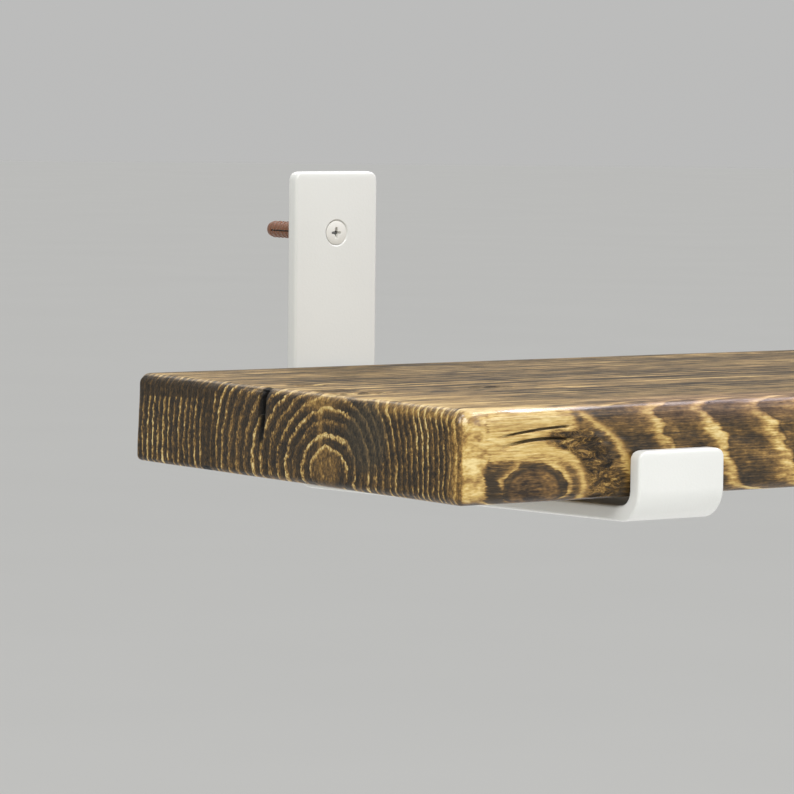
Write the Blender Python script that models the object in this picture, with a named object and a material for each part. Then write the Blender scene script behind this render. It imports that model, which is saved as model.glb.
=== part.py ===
"""Wall shelf: a rounded softwood board held by two bent flat-bar brackets with lips.

Frame: X runs along the board, Y = 0 is the wall face with the room on the -Y side, Z is up.
The origin is on the wall face, at mid-length, level with the underside of the board.
"""
import math

import bpy
import bmesh
from mathutils import Matrix, Vector

# Board
BOARD_LENGTH = 0.600
BOARD_DEPTH = 0.220
BOARD_THICKNESS = 0.035
BOARD_BACK = -0.0065             # back face, clear of the uprights in front of the wall
EDGE_ROUND = 0.0040              # largest rounding of an arris
EDGE_SEGMENTS = 4
TOP_WEIGHT = 1.0                 # share of EDGE_ROUND on each group of arrises
FRONT_END_WEIGHT = 1.0
BACK_END_WEIGHT = 0.6
LOWER_FRONT_WEIGHT = 0.85
LOWER_END_WEIGHT = 0.5
LOWER_BACK_WEIGHT = 0.5

# Bracket: flat bar bent at the wall and again at the lip
BAR_WIDTH = 0.040
BAR_THICKNESS = 0.006
BAR_EDGE = 0.0012                # rounding of the bar's long edges
BAR_CORNER = 0.0038              # rounding of the corners at the bar's two ends
WALL_BEND = 0.012                # inside radius
LIP_BEND = 0.006                 # inside radius
BEND_STEPS = 9
UPRIGHT_TOP = 0.1140
LIP_TOP = 0.0175
LIP_FACE = -0.2275               # inner face of the lip, 1 mm in front of the board
ARM_DROP = 0.0079                # arm's upper face below the board, measured at the wall plane
ARM_RISE = math.radians(1.20)    # arm climbs toward the lip
BRACKET_INSET = 0.096            # board end to bracket centre
BRACKET_X = BOARD_LENGTH / 2 - BRACKET_INSET

# Wall fixings
UPPER_HOLE_Z = UPRIGHT_TOP - 0.025
LOWER_HOLE_Z = BOARD_THICKNESS / 2
WALL_HOLE_R = 0.0026
WALL_SINK_R = 0.00535
WALL_HEAD_R = 0.0049
WALL_SHANK_R = 0.0023
WALL_SCREW_LENGTH = 0.050
PLUG_R = 0.0035
PLUG_WAIST_R = 0.0032
PLUG_BORE_R = 0.0026
PLUG_START = 0.003
PLUG_LENGTH = 0.038
PLUG_RIBS = 4

# Board fixings, driven up through the arm
BOARD_SCREW_Y = {"rear": -0.070, "front": -0.170}
ARM_HOLE_R = 0.0023
ARM_SINK_R = 0.00435
ARM_HEAD_R = 0.0039
ARM_SHANK_R = 0.0020
BOARD_SCREW_LENGTH = 0.032
PILOT_DEPTH = 0.024
PILOT_R = 0.0023

HEAD_RECESS = 0.00015            # screw heads sit this far below the bar's face
HEAD_RIM = 0.0003                # straight edge of a countersunk head
GAP = 0.0003                     # clearance between neighbouring pieces
OVERCUT = 0.001                  # how far a cutter runs past the face it cuts
TIP_LENGTH = 0.006
ROUND_STEPS = 20

SIDES = {"left": -1, "right": 1}


def make_material(name, colour, roughness, metallic=0.0):
    material = bpy.data.materials.new(name)
    material.use_nodes = True
    shader = material.node_tree.nodes["Principled BSDF"]
    shader.inputs["Base Color"].default_value = (*colour, 1.0)
    shader.inputs["Roughness"].default_value = roughness
    shader.inputs["Metallic"].default_value = metallic
    material.diffuse_color = (*colour, 1.0)
    return material


def new_object(name, bm, material=None):
    bmesh.ops.recalc_face_normals(bm, faces=bm.faces)
    mesh = bpy.data.meshes.new(name)
    bm.to_mesh(mesh)
    bm.free()
    if material:
        mesh.materials.append(material)
    obj = bpy.data.objects.new(name, mesh)
    bpy.context.scene.collection.objects.link(obj)
    return obj


def smooth(obj):
    obj.data.shade_smooth()
    obj.data.set_sharp_from_angle(angle=math.radians(35))


def as_cutter(obj):
    obj.hide_render = True
    obj.display_type = "WIRE"
    return obj


def subtract(target, cutter):
    cut = target.modifiers.new("cut_" + cutter.name, "BOOLEAN")
    cut.operation = "DIFFERENCE"
    cut.solver = "EXACT"
    cut.object = cutter


def turned(profile, steps=ROUND_STEPS):
    """Solid of revolution about local Z from (radius, height) points, first and last on the axis."""
    bm = bmesh.new()
    rings = []
    for radius, height in profile:
        if radius == 0.0:
            rings.append([bm.verts.new((0.0, 0.0, height))])
            continue
        ring = []
        for step in range(steps):
            angle = 2 * math.pi * step / steps
            ring.append(bm.verts.new((radius * math.cos(angle), radius * math.sin(angle), height)))
        rings.append(ring)
    for lower, upper in zip(rings, rings[1:]):
        for step in range(steps):
            after = (step + 1) % steps
            if len(lower) == 1:
                bm.faces.new((lower[0], upper[step], upper[after]))
            elif len(upper) == 1:
                bm.faces.new((lower[step], lower[after], upper[0]))
            else:
                bm.faces.new((lower[step], lower[after], upper[after], upper[step]))
    return bm


def turned_tube(profile, steps=ROUND_STEPS):
    """Ring-shaped solid about local Z from a closed loop of (radius, height) points."""
    bm = bmesh.new()
    rings = []
    for radius, height in profile:
        ring = []
        for step in range(steps):
            angle = 2 * math.pi * step / steps
            ring.append(bm.verts.new((radius * math.cos(angle), radius * math.sin(angle), height)))
        rings.append(ring)
    for lower, upper in zip(rings, rings[1:] + rings[:1]):
        for step in range(steps):
            after = (step + 1) % steps
            bm.faces.new((lower[step], lower[after], upper[after], upper[step]))
    return bm


def cross_recess(name, reach, half_width, depth):
    """Tapered cross that cuts a driver recess into a head whose face is at local Z = 0."""
    def outline(scale, height):
        a, b = reach * scale, half_width * (0.5 + 0.5 * scale)
        points = ((a, b), (b, b), (b, a), (-b, a), (-b, b), (-a, b),
                  (-a, -b), (-b, -b), (-b, -a), (b, -a), (b, -b), (a, -b))
        return [bm.verts.new((x, y, height)) for x, y in points]

    bm = bmesh.new()
    top = outline(1.1, OVERCUT)
    bottom = outline(0.4, -depth)
    bm.faces.new(top)
    bm.faces.new(bottom[::-1])
    for here in range(len(top)):
        after = (here + 1) % len(top)
        bm.faces.new((top[here], bottom[here], bottom[after], top[after]))
    return as_cutter(new_object(name, bm))


def make_board(material):
    bm = bmesh.new()
    centre = Vector((0.0, BOARD_BACK - BOARD_DEPTH / 2, BOARD_THICKNESS / 2))
    size = Vector((BOARD_LENGTH, BOARD_DEPTH, BOARD_THICKNESS))
    bmesh.ops.create_cube(bm, size=1.0, matrix=Matrix.LocRotScale(centre, None, size))
    weights = bm.edges.layers.float.new("bevel_weight_edge")
    for edge in bm.edges:
        middle = (edge.verts[0].co + edge.verts[1].co) / 2 - centre
        upper, lower = middle.z > size.z / 4, middle.z < -size.z / 4
        front, back = middle.y < -size.y / 4, middle.y > size.y / 4
        if upper:
            edge[weights] = TOP_WEIGHT
        elif lower and front:
            edge[weights] = LOWER_FRONT_WEIGHT
        elif lower and back:
            edge[weights] = LOWER_BACK_WEIGHT
        elif lower:
            edge[weights] = LOWER_END_WEIGHT
        else:
            edge[weights] = FRONT_END_WEIGHT if front else BACK_END_WEIGHT
    board = new_object("board", bm, material)
    bevel = board.modifiers.new("rounded_arrises", "BEVEL")
    bevel.limit_method = "WEIGHT"
    bevel.width = EDGE_ROUND
    bevel.segments = EDGE_SEGMENTS
    return board


def bar_path():
    """Centre line of the bar from the top of the upright to the top of the lip, as (y, z, direction)."""
    half = BAR_THICKNESS / 2
    wall_r, lip_r = WALL_BEND + half, LIP_BEND + half
    sin_rise, cos_rise, tan_rise = math.sin(ARM_RISE), math.cos(ARM_RISE), math.tan(ARM_RISE)

    def arm_centre_z(y):
        return -ARM_DROP - y * tan_rise - half / cos_rise

    wall_cy = -half - wall_r
    wall_cz = arm_centre_z(wall_cy - wall_r * sin_rise) + wall_r * cos_rise
    lip_cy = LIP_FACE - half + lip_r
    lip_cz = arm_centre_z(lip_cy - lip_r * sin_rise) + lip_r * cos_rise

    path = [(-half, UPRIGHT_TOP, 0.0)]
    wall_turn = math.pi / 2 + ARM_RISE
    for step in range(BEND_STEPS + 1):
        angle = wall_turn * step / BEND_STEPS
        y = wall_cy + wall_r * math.cos(angle)
        path.append((y, wall_cz - wall_r * math.sin(angle), angle))
    lip_turn = math.pi / 2 - ARM_RISE
    for step in range(BEND_STEPS + 1):
        angle = ARM_RISE + lip_turn * step / BEND_STEPS
        y = lip_cy - lip_r * math.sin(angle)
        path.append((y, lip_cz - lip_r * math.cos(angle), math.pi / 2 + angle))
    path.append((LIP_FACE - half, LIP_TOP, math.pi))
    return path


def with_rounded_ends(path):
    """Adds stations near both ends, each with the distance to its end, where the outline rounds off."""
    depths = [0.0, 0.15 * BAR_EDGE, 0.5 * BAR_EDGE, BAR_EDGE, 0.6 * BAR_CORNER, BAR_CORNER]
    top_y, top_z, top_angle = path[0]
    lip_y, lip_z, lip_angle = path[-1]
    start = [(top_y, top_z - depth, top_angle, depth) for depth in depths]
    end = [(lip_y, lip_z - depth, lip_angle, depth) for depth in reversed(depths)]
    middle = [(y, z, angle, BAR_WIDTH) for y, z, angle in path[1:-1]]
    return start + middle + end


def rounded_inset(radius, depth):
    """How far a rounding of this radius has drawn in, at this depth from the end."""
    if depth >= radius:
        return 0.0
    return radius - math.sqrt(radius ** 2 - (radius - depth) ** 2)


def bar_section(depth):
    """Rounded rectangle across the bar, as (x, through-thickness) points."""
    inset = rounded_inset(BAR_EDGE, depth)
    half_width = BAR_WIDTH / 2 - inset - rounded_inset(BAR_CORNER, depth)
    half_thick = BAR_THICKNESS / 2 - inset
    radius = max(BAR_EDGE - inset, 0.05 * BAR_EDGE)
    points = []
    for corner, (side_x, side_n) in enumerate(((1, 1), (-1, 1), (-1, -1), (1, -1))):
        for step in range(4):
            angle = math.pi / 2 * (corner + step / 3)
            x = side_x * (half_width - radius) + radius * math.cos(angle)
            n = side_n * (half_thick - radius) + radius * math.sin(angle)
            points.append((x, n))
    return points


def make_bracket(name, centre_x, material):
    bm = bmesh.new()
    rings = []
    for y, z, angle, depth in with_rounded_ends(bar_path()):
        normal = Vector((0.0, math.cos(angle), -math.sin(angle)))
        centre = Vector((0.0, y, z))
        ring = []
        for x, n in bar_section(depth):
            ring.append(bm.verts.new(centre + Vector((x, 0.0, 0.0)) + normal * n))
        rings.append(ring)
    bm.faces.new(rings[0])
    bm.faces.new(rings[-1][::-1])
    for near, far in zip(rings, rings[1:]):
        for here in range(len(near)):
            after = (here + 1) % len(near)
            bm.faces.new((near[here], near[after], far[after], far[here]))
    bracket = new_object(name, bm, material)
    bracket.location.x = centre_x
    return bracket


def sink_profile(hole_r, sink_r):
    """Countersunk clearance hole, entered at local Z = 0 and running down -Z through the bar."""
    straight = HEAD_RIM + HEAD_RECESS
    cone_end = straight + sink_r - hole_r
    return [(0.0, OVERCUT), (sink_r, OVERCUT), (sink_r, -straight), (hole_r, -cone_end),
            (hole_r, -BAR_THICKNESS - OVERCUT), (0.0, -BAR_THICKNESS - OVERCUT)]


def screw_profile(head_r, shank_r, length):
    """Countersunk screw, face of the head at local Z = 0 and the point down -Z."""
    cone_end = HEAD_RIM + head_r - shank_r
    return [(0.0, 0.0), (head_r, 0.0), (head_r, -HEAD_RIM), (shank_r, -cone_end),
            (shank_r, TIP_LENGTH - length), (0.25 * shank_r, -length), (0.0, -length)]


def make_screw(name, head_r, shank_r, length, recess_cutter, material):
    screw = new_object(name, turned(screw_profile(head_r, shank_r, length)), material)
    subtract(screw, recess_cutter)
    smooth(screw)
    return screw


def make_plug(name, material):
    """Ribbed sleeve with an open bore, its mouth at local Z = 0 and its far end down -Z."""
    pitch = PLUG_LENGTH / (2 * PLUG_RIBS + 1)
    outer = [(PLUG_R, 0.0)]
    for rib in range(PLUG_RIBS):
        base = -pitch * (2 * rib + 1)
        outer += [(PLUG_R, base), (PLUG_WAIST_R, base - pitch / 2), (PLUG_R, base - pitch)]
    outer += [(PLUG_R, -0.94 * PLUG_LENGTH), (PLUG_WAIST_R, -PLUG_LENGTH)]
    bore = [(PLUG_BORE_R, -PLUG_LENGTH), (PLUG_BORE_R, 0.0)]
    plug = new_object(name, turned_tube(outer + bore, steps=16), material)
    smooth(plug)
    return plug


def aim(obj, x, y, z, tilt):
    """Stands an object's local +Z toward the room (wall fixings) or down (board fixings)."""
    obj.location = (x, y, z)
    obj.rotation_euler = (tilt, 0.0, 0.0)


def arm_underside(y):
    """Height of the arm's lower face at this distance from the wall."""
    return -ARM_DROP - y * math.tan(ARM_RISE) - BAR_THICKNESS / math.cos(ARM_RISE)


for old in list(bpy.data.objects):
    bpy.data.objects.remove(old, do_unlink=True)

stained_pine = make_material("stained_pine", (0.17, 0.09, 0.04), 0.55)
white_coat = make_material("white_powder_coat", (0.80, 0.79, 0.76), 0.38)
white_head = make_material("white_painted_steel", (0.78, 0.77, 0.74), 0.40)
zinc = make_material("zinc_plated_steel", (0.62, 0.62, 0.60), 0.35, 0.9)
brown_nylon = make_material("brown_nylon", (0.22, 0.10, 0.05), 0.5)

TOWARD_ROOM = math.pi / 2                # local +Z to -Y
DOWNWARD = math.pi - ARM_RISE            # local +Z out of the arm's lower face

board = make_board(stained_pine)

for side, sign in SIDES.items():
    bracket_x = sign * BRACKET_X
    bracket = make_bracket("bracket_" + side, bracket_x, white_coat)

    for level, hole_z in (("upper", UPPER_HOLE_Z), ("lower", LOWER_HOLE_Z)):
        tag = side + "_" + level
        hole = as_cutter(new_object("wall_hole_" + tag, turned(sink_profile(WALL_HOLE_R, WALL_SINK_R))))
        aim(hole, bracket_x, -BAR_THICKNESS, hole_z, TOWARD_ROOM)
        subtract(bracket, hole)

        recess = cross_recess("wall_recess_" + tag, 0.0027, 0.0005, 0.0022)
        screw = make_screw("wall_screw_" + tag, WALL_HEAD_R, WALL_SHANK_R, WALL_SCREW_LENGTH,
                           recess, white_head)
        head_y = -BAR_THICKNESS + HEAD_RECESS
        aim(screw, bracket_x, head_y, hole_z, TOWARD_ROOM)
        aim(recess, bracket_x, head_y, hole_z, TOWARD_ROOM)

        plug = make_plug("wall_plug_" + tag, brown_nylon)
        aim(plug, bracket_x, PLUG_START, hole_z, TOWARD_ROOM)

    for place, hole_y in BOARD_SCREW_Y.items():
        tag = side + "_" + place
        face_z = arm_underside(hole_y)
        hole = as_cutter(new_object("arm_hole_" + tag, turned(sink_profile(ARM_HOLE_R, ARM_SINK_R))))
        aim(hole, bracket_x, hole_y, face_z, DOWNWARD)
        subtract(bracket, hole)

        recess = cross_recess("arm_recess_" + tag, 0.0021, 0.00042, 0.0018)
        screw = make_screw("board_screw_" + tag, ARM_HEAD_R, ARM_SHANK_R, BOARD_SCREW_LENGTH,
                           recess, zinc)
        aim(screw, bracket_x, hole_y, face_z + HEAD_RECESS, DOWNWARD)
        aim(recess, bracket_x, hole_y, face_z + HEAD_RECESS, DOWNWARD)

        pilot_profile = [(0.0, OVERCUT), (PILOT_R, OVERCUT), (PILOT_R, -PILOT_DEPTH), (0.0, -PILOT_DEPTH)]
        pilot = as_cutter(new_object("pilot_" + tag, turned(pilot_profile)))
        board_gap = ARM_DROP + hole_y * math.tan(ARM_RISE)
        pilot_y = hole_y + (BAR_THICKNESS + board_gap) * math.sin(ARM_RISE)
        aim(pilot, bracket_x, pilot_y, 0.0, DOWNWARD)
        subtract(board, pilot)

    smooth(bracket)

smooth(board)
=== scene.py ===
"""Looks of the wall shelf: a dark-stained softwood board in two white bent-bar brackets."""

import math

import bmesh
import bpy
from mathutils import Matrix, Vector, noise


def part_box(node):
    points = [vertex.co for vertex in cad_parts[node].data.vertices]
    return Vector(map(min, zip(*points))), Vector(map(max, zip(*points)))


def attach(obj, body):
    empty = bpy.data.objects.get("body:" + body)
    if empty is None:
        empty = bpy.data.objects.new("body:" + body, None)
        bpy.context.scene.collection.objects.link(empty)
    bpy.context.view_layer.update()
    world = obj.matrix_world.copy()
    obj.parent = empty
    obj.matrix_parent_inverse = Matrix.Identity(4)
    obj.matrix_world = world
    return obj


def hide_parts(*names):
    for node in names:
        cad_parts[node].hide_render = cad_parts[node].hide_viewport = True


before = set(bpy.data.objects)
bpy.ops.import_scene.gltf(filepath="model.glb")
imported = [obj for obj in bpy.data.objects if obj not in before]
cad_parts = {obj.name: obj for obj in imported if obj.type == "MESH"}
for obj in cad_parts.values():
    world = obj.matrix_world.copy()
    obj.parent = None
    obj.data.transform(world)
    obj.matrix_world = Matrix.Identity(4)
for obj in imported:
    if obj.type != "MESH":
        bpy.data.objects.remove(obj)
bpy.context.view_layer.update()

MM = 0.001
# The brackets, the wall screws of each and the board screws of each
SIDES, LEVELS, SPOTS = ("left", "right"), ("upper", "lower"), ("rear", "front")

# ---- sizes read from the frame
BOARD_LOW, BOARD_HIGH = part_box("board")
BOARD_SIZE = BOARD_HIGH - BOARD_LOW
BAR_LOW, BAR_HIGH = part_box("bracket_left")
BAR_WIDTH = BAR_HIGH.x - BAR_LOW.x

# Section and bends of the bar, as the CAD has them
BAR_THICK = 6.0 * MM
BAR_EDGE = 1.2 * MM
BAR_CORNER = 3.8 * MM
WALL_BEND = 12.0 * MM
LIP_BEND = 6.0 * MM
LIP_TOP = 17.5 * MM
LIP_FACE = BAR_LOW.y + BAR_THICK
ARM_DROP = 7.9 * MM
ARM_RISE = math.radians(1.20)
HEAD_RECESS = 0.15 * MM
WALL_SINK_R, WALL_HOLE_R = 5.35 * MM, 2.6 * MM
ARM_SINK_R, ARM_HOLE_R = 4.35 * MM, 2.3 * MM
SINK_STRAIGHT = 0.45 * MM
SINK_CLEARANCE = 0.35 * MM
PILOT_R, PILOT_DEPTH = 2.3 * MM, 24.0 * MM

# ---- camera
CAMERA_PLACE = Vector((-1.22291, -1.50960, 0.15402))
CAMERA_YAW = math.radians(34.92)
CAMERA_PITCH = math.radians(4.152)
CAMERA_ROLL = math.radians(0.57)
CAMERA_LENS = 202.06


def make_camera():
    data = bpy.data.cameras.new("camera")
    data.lens, data.sensor_width = CAMERA_LENS, 36.0
    data.clip_start, data.clip_end = 0.05, 200.0
    camera = bpy.data.objects.new("camera", data)
    bpy.context.scene.collection.objects.link(camera)
    sin_yaw, cos_yaw = math.sin(CAMERA_YAW), math.cos(CAMERA_YAW)
    sin_pitch, cos_pitch = math.sin(CAMERA_PITCH), math.cos(CAMERA_PITCH)
    ahead = Vector((sin_yaw * cos_pitch, cos_yaw * cos_pitch, -sin_pitch))
    right = Vector((cos_yaw, -sin_yaw, 0.0))
    up = right.cross(ahead)
    tilted_right = right * math.cos(CAMERA_ROLL) + up * math.sin(CAMERA_ROLL)
    tilted_up = up * math.cos(CAMERA_ROLL) - right * math.sin(CAMERA_ROLL)
    turn = Matrix((tilted_right, tilted_up, -ahead)).transposed()
    camera.matrix_world = Matrix.Translation(CAMERA_PLACE) @ turn.to_4x4()
    bpy.context.scene.camera = camera


make_camera()


# ---- mesh helpers
def lerp(a, b, t):
    return a + (b - a) * t


def smoothstep(low, high, value):
    t = min(max((value - low) / (high - low), 0.0), 1.0)
    return t * t * (3 - 2 * t)


def add_object(name, bm, material, place=None):
    bmesh.ops.recalc_face_normals(bm, faces=bm.faces)
    mesh = bpy.data.meshes.new(name)
    bm.to_mesh(mesh)
    bm.free()
    mesh.materials.append(material)
    obj = bpy.data.objects.new(name, mesh)
    bpy.context.scene.collection.objects.link(obj)
    if place:
        obj.matrix_world = place
    return obj


def smooth(obj, angle):
    """Smooth shading, with edges sharper than the angle (in degrees) kept crisp."""
    obj.data.shade_smooth()
    obj.data.set_sharp_from_angle(angle=math.radians(angle))


def ring_mesh(bm, rings, close_start=True, close_end=True):
    """Skins rings of equal length; each ring is a list of points."""
    made = [[bm.verts.new(p) for p in ring] for ring in rings]
    for near, far in zip(made, made[1:]):
        for here in range(len(near)):
            after = (here + 1) % len(near)
            bm.faces.new((near[here], near[after], far[after], far[here]))
    if close_start:
        bm.faces.new(made[0][::-1])
    if close_end:
        bm.faces.new(made[-1])
    return made


def circle(radius, height, steps):
    points = []
    for step in range(steps):
        angle = 2 * math.pi * step / steps
        points.append(Vector((radius * math.cos(angle), radius * math.sin(angle), height)))
    return points


# How far a cutting tool reaches past the surface it opens
BEYOND = 1.0 * MM


def subtract(obj, cutters):
    """Cuts the tools out of the mesh for good, then removes them."""
    for cutter in cutters:
        cut = obj.modifiers.new("cut", "BOOLEAN")
        cut.operation, cut.solver, cut.object = "DIFFERENCE", "EXACT", cutter
    bpy.context.view_layer.update()
    graph = bpy.context.evaluated_depsgraph_get()
    mesh = bpy.data.meshes.new_from_object(obj.evaluated_get(graph), depsgraph=graph)
    obj.modifiers.clear()
    obj.data = mesh
    for cutter in cutters:
        bpy.data.objects.remove(cutter)


# ---- node helper
class Val:
    """A shader value that can be written as ordinary arithmetic."""

    def __init__(self, tree, socket):
        self.tree, self.socket = tree, socket

    def _math(self, kind, *others):
        node = self.tree.nodes.new("ShaderNodeMath")
        node.operation = kind
        for slot, value in enumerate((self,) + others):
            put(self.tree, node.inputs[slot], value)
        return Val(self.tree, node.outputs[0])

    def __add__(self, other):
        return self._math("ADD", other)

    __radd__ = __add__

    def __sub__(self, other):
        return self._math("SUBTRACT", other)

    def __rsub__(self, other):
        return (self * -1.0) + other

    def __mul__(self, other):
        return self._math("MULTIPLY", other)

    def __truediv__(self, other):
        return self._math("DIVIDE", other)

    def sqrt(self):
        return self._math("SQRT")

    def abs(self):
        return self._math("ABSOLUTE")

    def exp(self):
        return self._math("EXPONENT")

    def floor(self):
        return self._math("FLOOR")

    def fract(self):
        return self._math("FRACT")

    def max(self, other):
        return self._math("MAXIMUM", other)

    def min(self, other):
        return self._math("MINIMUM", other)

    def soft_max(self, other, reach):
        """The larger of the two, with the corner between them rounded over the reach."""
        return self._math("SMOOTH_MAX", other, reach)

    def step(self, low, high, out_low=0.0, out_high=1.0):
        """Smooth ramp from out_low at low to out_high at high; low may be the larger one."""
        node = self.tree.nodes.new("ShaderNodeMapRange")
        node.interpolation_type = "SMOOTHSTEP"
        values = (self, low, high, out_low, out_high)
        if not isinstance(low, Val) and not isinstance(high, Val) and low > high:
            values = (self, high, low, out_high, out_low)
        for slot, value in enumerate(values):
            put(self.tree, node.inputs[slot], value)
        return Val(self.tree, node.outputs[0])


def put(tree, socket, value):
    if isinstance(value, Val):
        tree.links.new(value.socket, socket)
    else:
        socket.default_value = value


def linear(r, g, b):
    """sRGB 0-255 to linear, with alpha."""
    def one(c):
        c /= 255
        return c / 12.92 if c <= 0.04045 else ((c + 0.055) / 1.055) ** 2.4
    return (one(r), one(g), one(b), 1.0)


class Paint:
    """A material being built: coordinates in millimetres, noises, mixes and the shader."""

    def __init__(self, name, view_colour):
        self.material = bpy.data.materials.new(name)
        self.material.use_nodes = True
        self.material.diffuse_color = view_colour
        self.tree = self.material.node_tree
        self.shader = self.tree.nodes["Principled BSDF"]
        coords = self.tree.nodes.new("ShaderNodeTexCoord")
        scale = self.tree.nodes.new("ShaderNodeVectorMath")
        scale.operation = "SCALE"
        self.tree.links.new(coords.outputs["Object"], scale.inputs[0])
        scale.inputs["Scale"].default_value = 1000.0
        self.place = Val(self.tree, scale.outputs[0])
        self.x, self.y, self.z = self.split(self.place)
        self.facing = Val(self.tree, coords.outputs["Normal"])

    def split(self, vector):
        node = self.tree.nodes.new("ShaderNodeSeparateXYZ")
        self.tree.links.new(vector.socket, node.inputs[0])
        return [Val(self.tree, out) for out in node.outputs]

    def scaled(self, sx, sy, sz, shift=(0.0, 0.0, 0.0)):
        """The place, divided along each axis by a feature size in millimetres."""
        node = self.tree.nodes.new("ShaderNodeVectorMath")
        node.operation = "MULTIPLY_ADD"
        self.tree.links.new(self.place.socket, node.inputs[0])
        node.inputs[1].default_value = (1 / sx, 1 / sy, 1 / sz)
        node.inputs[2].default_value = shift
        return Val(self.tree, node.outputs[0])

    def noise(self, vector, detail=2.0, rough=0.5, distortion=0.0):
        """Fractal noise around zero, roughly -0.5 to 0.5."""
        node = self.tree.nodes.new("ShaderNodeTexNoise")
        node.noise_dimensions = "3D"
        self.tree.links.new(vector.socket, node.inputs["Vector"])
        node.inputs["Scale"].default_value = 1.0
        node.inputs["Detail"].default_value = detail
        node.inputs["Roughness"].default_value = rough
        node.inputs["Distortion"].default_value = distortion
        return Val(self.tree, node.outputs["Fac"]) - 0.5

    def random(self, value, seed):
        """An even random number from 0 to 1 for each whole value."""
        node = self.tree.nodes.new("ShaderNodeTexWhiteNoise")
        node.noise_dimensions = "1D"
        put(self.tree, node.inputs["W"], value + seed)
        return Val(self.tree, node.outputs["Value"])

    def mix(self, a, b, factor):
        """Colour a, turning into colour b as the factor goes from 0 to 1."""
        node = self.tree.nodes.new("ShaderNodeMix")
        node.data_type = "RGBA"
        put(self.tree, node.inputs["Factor"], factor)
        for slot, value in ((6, a), (7, b)):
            put(self.tree, node.inputs[slot], value)
        return Val(self.tree, node.outputs[2])

    def ramp(self, value, stops):
        """Colour for a value, through stops of (position, colour)."""
        node = self.tree.nodes.new("ShaderNodeValToRGB")
        put(self.tree, node.inputs[0], value)
        marks = node.color_ramp.elements
        while len(marks) < len(stops):
            marks.new(0.5)
        for mark, (position, colour) in zip(marks, stops):
            mark.position, mark.color = position, colour
        return Val(self.tree, node.outputs[0])

    def bump(self, height, depth_mm):
        """Relief whose height of 1 stands depth_mm proud."""
        node = self.tree.nodes.new("ShaderNodeBump")
        node.inputs["Strength"].default_value = 1.0
        node.inputs["Distance"].default_value = depth_mm * MM
        self.tree.links.new(height.socket, node.inputs["Height"])
        return Val(self.tree, node.outputs["Normal"])

    def set(self, **values):
        """Sets or links the shader's sockets; underscores stand for the spaces in their names."""
        for name, value in values.items():
            put(self.tree, self.shader.inputs[name.replace("_", " ")], value)
        return self.material


# ---- wood
# Places in the wood are millimetres: x from the left end, y from the wall, z from the underside.
END_X = BOARD_LOW.x / MM
PITH_Y, PITH_Z = -141.5, 6.8
RING = 4.8
KNOT_X, KNOT_Z = 33.7, 4.8
# Where the torn grain right of the knot gives way to sound wood
BAND_START = 67.5
# The drying crack in the left end: its place at height CHECK_MIDDLE, and its lean forward for
# each mm up
CHECK_Y, CHECK_MIDDLE, CHECK_LEAN = -98.2, 20.0, 0.08
# Other marks on the left end, mostly as (y, z) of the middle and the half sizes
DARK_GAP_Y, RAY_Y = -61.0, -137.5
HEART = ((PITH_Y, 8.0), (9.0, 8.5))
BLUE_SPOT = ((-168.0, 21.0), (13.5, 13.0))
CHIP = ((-59.0, 0.6), (3.2, 1.5))
# Radius of the pale arc right of the knot
ARC_RADIUS = 14.6
# Splits in the front edge: start x, height there, rise and bow for each mm along
UPPER_SPLIT = (17.8, 24.2, 0.103, 0.0022)
LOWER_SPLIT = (22.0, 21.2, 0.058, 0.0062)
SPLIT_END = 48.0
# Torn shakes in the top near the left end: start x, stop x, middle y, half width; they deepen
# over the first SHAKE_LEAD and run out over the last SHAKE_TAIL
SHAKE_LEAD, SHAKE_TAIL = 5.0, 7.0
SHAKES = ((14.0, 32.0, -95.5, 6.0), (4.0, 27.0, -127.0, 7.0),
          (0.5, 31.0, -141.0, 5.5), (68.0, 90.0, -136.0, 4.5))

# Every noise in the wood: feature size along x, y and z, shift, detail, roughness
GRAIN = {
    "coarse_y": ((260, 900, 900), (0, 0, 0), 1.0, 0.5),
    "coarse_z": ((240, 700, 700), (7, 0, 0), 1.0, 0.5),
    "wave_y": ((120, 20, 20), (0, 0, 0), 2.0, 0.6),
    "wave_z": ((120, 20, 20), (3, 5, 1), 2.0, 0.6),
    "ripple": ((75, 300, 300), (2, 9, 4), 1.0, 0.5),
    "drift": ((9, 4, 4), (6, 6, 1), 1.0, 0.5),
    "fray": ((16, 1.5, 1.5), (0, 0, 0), 3.0, 0.65),
    "crook": ((8, 8, 8), (1, 8, 3), 2.0, 0.6),
    "fibre": ((20, 0.60, 0.60), (0, 0, 0), 3.0, 0.70),
    "pore": ((5, 0.75, 0.75), (5, 5, 5), 2.0, 0.75),
    "cloud": ((55, 11, 11), (8, 1, 2), 3.0, 0.6),
    "blot": ((14, 6, 6), (1, 7, 2), 3.0, 0.6),
    "streak": ((170, 2.6, 2.6), (9, 2, 6), 4.0, 0.65),
    "plank": ((110, 10, 10), (4, 8, 6), 5.0, 0.62),
    "scuff": ((17, 8.5, 8.5), (7, 3, 2), 4.0, 0.7),
    "speck": ((5, 1.15, 1.9), (3, 3, 0), 2.0, 0.8),
    "grit": ((5, 2.0, 2.6), (0, 2, 9), 3.0, 0.85),
    "weave": ((42, 4.6, 4.6), (5, 9, 1), 4.0, 0.68),
    "group": ((300, 15, 24), (2, 0, 5), 2.0, 0.6),
    "hairline": ((26, 1.9, 30), (0, 3, 7), 2.0, 0.5),
    "worm": ((9, 1.6, 1.6), (2, 2, 2), 3.0, 0.7),
}

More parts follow.
